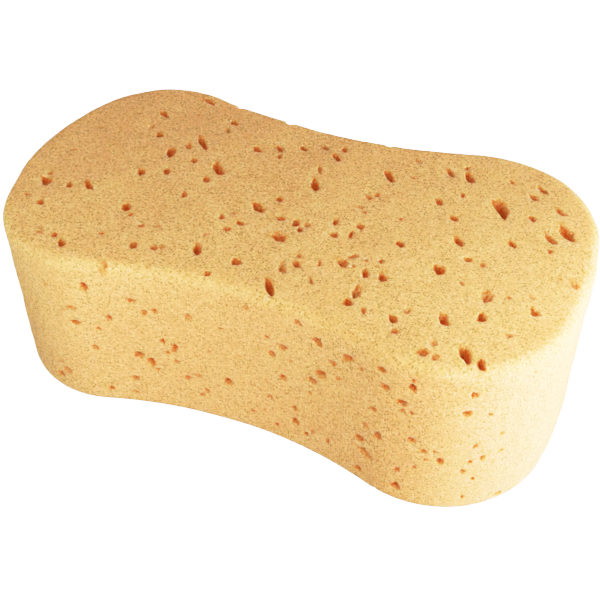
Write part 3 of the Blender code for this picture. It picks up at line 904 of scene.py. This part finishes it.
def foamMaterial():
    material = bpy.data.materials.new("foam")
    tree = Tree(material)
    place = tree.node("ShaderNodeTexCoord", {}, (), "Object")
    inMm = tree.node("ShaderNodeVectorMath", {"operation": "SCALE"}, {0: place, "Scale": 1 / mm})
    shifted = tree.node("ShaderNodeVectorMath", {"operation": "ADD"}, (inMm, foam["darkShift"]))
    clouds = tree.node("ShaderNodeTexNoise", {}, {"Vector": inMm, "Scale": foam["clouds"], "Detail": 3})
    tone = tree.cells(inMm, foam["grain"])[1]
    paleAway, paleTone = tree.cells(inMm, foam["paleCell"])
    darkAway, darkTone = tree.cells(shifted, foam["darkCell"])
    speckAway, speckTone = tree.cells(inMm, foam["speck"])
    shade = tree.node("ShaderNodeAttribute", {"attribute_name": "poreShade"}, (), "Fac")

    # the open cells: painted highlights as pale dots where one catches the light, painted shade as dark dots
    # where one is deep, over the foam's own uneven grain
    cloudy = tree.smooth(clouds, *foam["cloudFade"]) * foam["cloudShare"]
    colour = tree.mix(cloudy, foam["tan"], foam["orange"])
    torn = tree.smooth(0 - shade, *foam["rimFade"]) * foam["rimShare"]
    colour = tree.mix(torn, colour, foam["rim"])
    paintedGlintDots = tree.smooth(foam["dotReach"] - paleAway, 0.0, foam["dotFade"])
    paintedGlintDots = paintedGlintDots * tree.smooth(paleTone, foam["paleFrom"], 1.0)
    paintedShadeDots = tree.smooth(foam["dotReach"] - darkAway, 0.0, foam["dotFade"])
    paintedShadeDots = paintedShadeDots * tree.smooth(darkTone, foam["darkFrom"], 1.0)
    grain = paintedGlintDots * foam["paleness"] - paintedShadeDots * foam["darkness"] + (tone - 0.5) * foam["unevenness"]
    share = tree.node("ShaderNodeClamp", {}, (grain + foam["plain"], 0, 1))
    colour = tree.mix(1.0, colour, tree.mix(share, foam["dark"], foam["pale"]), "MULTIPLY")

    # small orange specks at some places: painted shade of tiny pores, in the pores' edge colour
    speckSize = (speckTone - (1 - foam["speckShare"])) * foam["speckSize"] + (tone - 0.5) * foam["speckGrain"]
    specks = tree.smooth(speckSize - speckAway, *foam["speckFade"])
    colour = tree.mix(specks * foam["speckTint"], colour, foam["poreEdge"])

    # the pores: painted shade, orange and then red with depth, in whole cells, and a painted glow
    bays = tree.node("ShaderNodeTexNoise", {}, {"Vector": inMm, "Scale": 1 / foam["blotch"], "Detail": 1})
    uneven = (tone - 0.5) * foam["raggedGrain"] + (bays - 0.5) * foam["raggedBays"]
    ragged = shade + uneven * tree.smooth(shade, 0.0, 0.2)
    colour = tree.mix(tree.smooth(ragged, *foam["edgeShade"]), colour, foam["poreEdge"])
    colour = tree.mix(tree.smooth(ragged, *foam["poreShade"]), colour, foam["pore"])
    # painted glow: the pores emit light, standing for light that comes through the foam
    glow = tree.mix(tree.smooth(ragged, *foam["glowShade"]), (0, 0, 0, 1), foam["paintedPoreGlow"])
    relief = paintedGlintDots * foam["paleRelief"] - paintedShadeDots + tone * foam["grainRelief"]
    bump = tree.node("ShaderNodeBump", {}, {
        "Strength": foam["reliefStrength"],
        "Distance": foam["relief"] * mm,
        "Height": relief,
    })
    tree.set({
        "Base Color": colour,
        "Normal": bump,
        "Emission Color": glow,
        "Emission Strength": 1,
        "Roughness": foam["roughness"],
        "Specular IOR Level": foam["shine"],
        "Subsurface Weight": foam["glow"],
        "Subsurface Radius": foam["glowColours"],
        "Subsurface Scale": foam["glowReach"] * mm,
    })
    return material


sponge.data.materials.append(foamMaterial())
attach(sponge, "root")
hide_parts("sponge")


# The floor and a dome round it, both white from any side
surround = {
    "halfSize": 4,              # of the floor, in metres
    "below": 0.02 * mm,         # how far the floor lies under the sponge
    "domeRadius": 3,
    "domeRings": 13,
    "domeSegments": 48,
    "colour": (0.72, 1, 1, 1),  # shown white after the tone's gains
    "strength": 9.5,
}


def surroundMaterial():
    material = bpy.data.materials.new("floor")
    Tree(material).set({
        "Base Color": (0, 0, 0, 1),
        "Roughness": 1,
        "Specular IOR Level": 0,
        "Emission Color": surround["colour"],
        "Emission Strength": surround["strength"],
    })
    return material


def floorSurface():
    # one square
    corners = np.array([(-1, -1, 0), (1, -1, 0), (1, 1, 0), (-1, 1, 0)]) * surround["halfSize"]
    return corners - (0, 0, surround["below"]), np.array([(0, 1, 2), (0, 2, 3)])


def domeSurface(rings, segments):
    # a half ball: its radius times cosine and sine of a height angle and a turn
    up, turn = np.meshgrid(np.linspace(0, math.pi / 2, rings), np.arange(segments) * 2 * math.pi / segments,
                           indexing="ij")
    points = np.stack([np.cos(up) * np.cos(turn), np.cos(up) * np.sin(turn), np.sin(up)], axis=-1)
    row, column = np.meshgrid(np.arange(rings - 1), np.arange(segments), indexing="ij")
    first = row * segments + column
    second = row * segments + (column + 1) % segments
    faces = np.stack([first, first + segments, second + segments, second], axis=-1)
    return points.reshape(-1, 3) * surround["domeRadius"], faces.reshape(-1, 4)


white = surroundMaterial()
for name, surface in (
    ("floor", floorSurface()),
    ("dome", domeSurface(surround["domeRings"], surround["domeSegments"])),
):
    part = meshObject(name, *surface)
    part.data.materials.append(white)
    part.visible_diffuse = False   # neither of them lights the foam
    part.visible_glossy = False
    part.visible_shadow = False    # or keeps light from it
print("stage: floor and dome made")


def directionTo(azimuth, elevation):
    # from the sponge towards a lamp or the camera; azimuth counts from the front towards the right end
    a = math.radians(azimuth)
    e = math.radians(elevation)
    return Vector((math.sin(a) * math.cos(e), -math.cos(a) * math.cos(e), math.sin(e)))


# Lamps, all aimed at one place: azimuth and elevation in degrees, distance and size in metres, power in
# watts, and colour
lampAim = (0, 0, 0.03)
lamps = {
    "rightLow": (90, 8, 0.7, 0.3, 13.7, (0.7, 0.9, 1.0)),
    "frontRightLow": (60, 8, 0.7, 0.3, 9.6, (1.0, 0.66, 0.72)),
    "rightNear": (78, 30, 0.2, 0.06, 0.25, (1.0, 0.88, 0.87)),
    "front": (0, 45, 0.35, 0.15, 0.65, (1.0, 0.93, 0.84)),
    "frontLeft": (-30, 25, 0.35, 0.15, 0.85, (0.79, 0.91, 1.0)),
    "backLeft": (215, 5, 0.7, 0.3, 2.2, (0.97, 0.97, 1.0)),
    "backRight": (160, 5, 0.7, 0.3, 2.2, (0.97, 0.97, 1.0)),
}
sky = {"colour": (0.78, 1, 0.82, 1), "strength": 0.25}


def roundLamp(name, azimuth, elevation, distance, size, power, colour):
    lamp = bpy.data.lights.new(name, "AREA")
    lamp.shape = "DISK"
    lamp.size = size
    lamp.energy = power
    lamp.color = colour
    made = bpy.data.objects.new(name, lamp)
    made.visible_camera = False
    back = directionTo(azimuth, elevation)
    made.location = Vector(lampAim) + back * distance
    made.rotation_euler = back.to_track_quat("Z", "Y").to_euler()
    bpy.context.scene.collection.objects.link(made)


for name, values in lamps.items():
    roundLamp(name, *values)
world = bpy.data.worlds.new("studio")
world.use_nodes = True
background = world.node_tree.nodes["Background"].inputs
background["Color"].default_value = sky["colour"]
background["Strength"].default_value = sky["strength"]
bpy.context.scene.world = world

camera = {
    "azimuth": 22.786,      # in degrees
    "elevation": 43.07,
    "roll": -0.423,
    "distance": 395.16 * mm,
    "target": (4.117 * mm, -4.954 * mm, 30 * mm),
    "lens": 60.473,         # in mm
    "sensor": 36,           # its width in mm
    "clip": 0.01,           # nothing nearer than this is seen, in metres
}


def placeCamera():
    lens = bpy.data.cameras.new("camera")
    lens.sensor_width = camera["sensor"]
    lens.lens = camera["lens"]
    lens.clip_start = camera["clip"]
    made = bpy.data.objects.new("camera", lens)
    back = directionTo(camera["azimuth"], camera["elevation"])
    made.location = Vector(camera["target"]) + back * camera["distance"]
    level = back.to_track_quat("Z", "Y").to_matrix().to_4x4()
    roll = Matrix.Rotation(math.radians(camera["roll"]), 4, "Z")
    made.rotation_euler = (level @ roll).to_euler()
    bpy.context.scene.collection.objects.link(made)
    bpy.context.scene.camera = made


placeCamera()
print("stage: lamps and camera placed")

# The photo's tone: a soft shoulder that keeps bright foam cream instead of clipped
tone = {
    "white": 10.0,                   # above what any channel needs to be shown white
    "gains": (0.92, 0.653, 0.648),   # how strongly red, green and blue were taken
    "points": [(0, 0), (0.17, 0.168), (0.35, 0.345), (0.64, 0.59), (1.05, 0.75), (2.1, 0.91),
               (3.9, 0.975), (6.0, 1.0)],   # how bright, and how it is shown
}
look = bpy.context.scene.view_settings
bpy.context.scene.display_settings.display_device = "sRGB"
look.view_transform = "Standard"
look.look = "None"
look.exposure = 0
look.gamma = 1
look.use_curve_mapping = True
look.curve_mapping.white_level = (tone["white"],) * 3
for curve, gain in zip(look.curve_mapping.curves, tone["gains"]):
    curve.points[0].location = tone["points"][0]
    curve.points[-1].location = (1, 1)
    for bright, shown in tone["points"][1:]:
        curve.points.new(bright / gain / tone["white"], shown)
look.curve_mapping.update()
